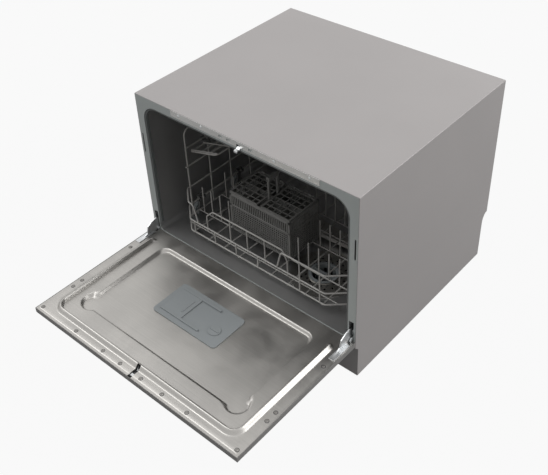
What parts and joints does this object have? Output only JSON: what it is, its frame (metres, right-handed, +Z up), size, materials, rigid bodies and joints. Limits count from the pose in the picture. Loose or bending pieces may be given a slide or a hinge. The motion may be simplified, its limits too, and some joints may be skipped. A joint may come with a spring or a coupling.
{
  "type": "countertop dishwasher",
  "caption": "Compact worktop dishwasher with a drop-down door, a pull-out wire rack on wheels, a cutlery basket and a fold-up cup shelf.",
  "frame": {"origin": "centre of the footprint with the door open, on the worktop under the feet", "axes": "+Z up, the front and the open door towards -Y, +X to the right seen from the front"},
  "size_m": [0.55, 0.805, 0.45],
  "materials": {
    "case": "warm grey powder coat, satin",
    "frame": "grey powder coat, satin",
    "zinc": "zinc plated",
    "bright": "bright rolled",
    "stainless": "brushed stainless steel",
    "tub_steel": "stainless steel, dull",
    "grey_wire": "grey nylon coating",
    "grey_plastic": "moulded",
    "dark_plastic": "moulded",
    "pale_plastic": "moulded",
    "gloss_black": "gloss",
    "button_silver": "satin silver",
    "seal_rubber": "moulded rubber",
    "foot_rubber": "moulded rubber",
    "board": "coated board"
  },
  "bodies": {
    "cabinet": {"top_panel": "case", "side_panel_left": "case", "side_panel_right": "case", "rear_panel": "case", "front_frame": "frame", "latch_strip": "bright", "kick_panel": "case", "base_pan": "dark_plastic", "feet": "foot_rubber", "tub": "tub_steel", "tub_floor": "tub_steel", "tub_back_wall": "tub_steel", "tub_seal": "seal_rubber", "hinge_brackets": "zinc", "door_springs": "zinc", "latch_housing": "dark_plastic", "sump": "dark_plastic", "flat_filter": "stainless", "spray_bearing": "grey_plastic", "wash_pump": "dark_plastic", "drain_pump": "dark_plastic", "heater": "zinc", "inlet_valve": "pale_plastic", "drain_spigot": "grey_plastic", "cord_gland": "dark_plastic"},
    "door": {"door_panel": "case", "door_liner": "stainless", "door_strike": "zinc", "door_arms": "zinc", "door_screws": "bright", "fascia": "gloss_black", "display_window": "gloss_black", "control_board": "board", "handle_cup": "dark_plastic", "dispenser_body": "grey_plastic"},
    "rack": {"rack_base": "grey_wire", "rack_front": "grey_wire", "rack_rear": "grey_wire", "rack_sides": "grey_wire", "plate_tines": "grey_wire", "basket_rail": "grey_wire", "wheel_clips": "grey_plastic", "shelf_clips": "grey_plastic"},
    "latch_hook": {"latch_hook": "zinc"},
    "filter_cup": {"filter_cup": "grey_plastic"},
    "spray_arm": {"spray_arm": "stainless"},
    "dispenser_lid": {"dispenser_lid": "grey_plastic"},
    "rinse_cap": {"rinse_cap": "grey_plastic"},
    "button_power": {"button_power": "button_silver"},
    "button_program": {"button_program": "button_silver"},
    "button_delay": {"button_delay": "button_silver"},
    "button_dry": {"button_dry": "button_silver"},
    "button_start": {"button_start": "button_silver"},
    "wheels_front": {"wheels_front": "grey_plastic"},
    "wheels_middle": {"wheels_middle": "grey_plastic"},
    "wheels_rear": {"wheels_rear": "grey_plastic"},
    "cutlery_basket": {"cutlery_basket": "grey_plastic"},
    "basket_lid_left": {"basket_lid_left": "grey_plastic"},
    "basket_lid_right": {"basket_lid_right": "grey_plastic"},
    "cup_shelf": {"cup_shelf": "grey_wire"}
  },
  "joints": [
    {"name": "door_hinge", "type": "hinge", "parent": "cabinet", "child": "door", "pos_m": [0, -0.0775, 0.111], "axis": [1, 0, 0], "range_deg": [-90, 0]},
    {"name": "rack_slide", "type": "slide", "parent": "cabinet", "child": "rack", "axis": [0, -1, 0], "range_m": [0, 0.305]},
    {"name": "latch_turn", "type": "hinge", "parent": "cabinet", "child": "latch_hook", "pos_m": [0.005, -0.0615, 0.4399], "axis": [1, 0, 0], "range_deg": [0, 5]},
    {"name": "spray_arm_spin", "type": "hinge", "parent": "cabinet", "child": "spray_arm", "pos_m": [0, 0.1425, 0.11], "axis": [0, 0, 1], "continuous": true},
    {"name": "filter_turn", "type": "hinge", "parent": "cabinet", "child": "filter_cup", "pos_m": [0.105, 0.0425, 0.097], "axis": [0, 0, 1], "range_deg": [0, 90]},
    {"name": "dispenser_lid_slide", "type": "slide", "parent": "door", "child": "dispenser_lid", "axis": [1, 0, 0], "range_m": [0, 0.05]},
    {"name": "rinse_cap_turn", "type": "hinge", "parent": "door", "child": "rinse_cap", "pos_m": [0.045, -0.2195, 0.104], "axis": [0, 0, 1], "range_deg": [0, 90]},
    {"name": "basket_lift", "type": "slide", "parent": "rack", "child": "cutlery_basket", "axis": [0, 0, 1], "range_m": [0, 0.12]},
    {"name": "basket_lid_left_fold", "type": "hinge", "parent": "cutlery_basket", "child": "basket_lid_left", "pos_m": [-0.075, 0.0953, 0.2338], "axis": [-1, 0, 0], "range_deg": [0, 100]},
    {"name": "basket_lid_right_fold", "type": "hinge", "parent": "cutlery_basket", "child": "basket_lid_right", "pos_m": [0.011, 0.0953, 0.2338], "axis": [-1, 0, 0], "range_deg": [0, 100]},
    {"name": "cup_shelf_fold", "type": "hinge", "parent": "rack", "child": "cup_shelf", "pos_m": [-0.206, 0.1495, 0.3], "axis": [0, -1, 0], "range_deg": [0, 70]},
    {"name": "wheels_front_roll", "type": "hinge", "parent": "rack", "child": "wheels_front", "pos_m": [0, 0.0165, 0.1243], "axis": [1, 0, 0], "continuous": true},
    {"name": "wheels_middle_roll", "type": "hinge", "parent": "rack", "child": "wheels_middle", "pos_m": [0, 0.1405, 0.1243], "axis": [1, 0, 0], "continuous": true},
    {"name": "wheels_rear_roll", "type": "hinge", "parent": "rack", "child": "wheels_rear", "pos_m": [0, 0.2645, 0.1243], "axis": [1, 0, 0], "continuous": true},
    {"name": "button_power_press", "type": "slide", "parent": "door", "child": "button_power", "axis": [0, 0, 1], "range_m": [0, 0.0015], "stiffness_N_per_m": 400},
    {"name": "button_program_press", "type": "slide", "parent": "door", "child": "button_program", "axis": [0, 0, 1], "range_m": [0, 0.0015], "stiffness_N_per_m": 400},
    {"name": "button_delay_press", "type": "slide", "parent": "door", "child": "button_delay", "axis": [0, 0, 1], "range_m": [0, 0.0015], "stiffness_N_per_m": 400},
    {"name": "button_dry_press", "type": "slide", "parent": "door", "child": "button_dry", "axis": [0, 0, 1], "range_m": [0, 0.0015], "stiffness_N_per_m": 400},
    {"name": "button_start_press", "type": "slide", "parent": "door", "child": "button_start", "axis": [0, 0, 1], "range_m": [0, 0.0015], "stiffness_N_per_m": 400}
  ],
  "couplings": [
    {"joint": "wheels_front_roll", "follows": "rack_slide", "rad_per_m": 71.429},
    {"joint": "wheels_middle_roll", "follows": "rack_slide", "rad_per_m": 71.429},
    {"joint": "wheels_rear_roll", "follows": "rack_slide", "rad_per_m": 71.429}
  ]
}
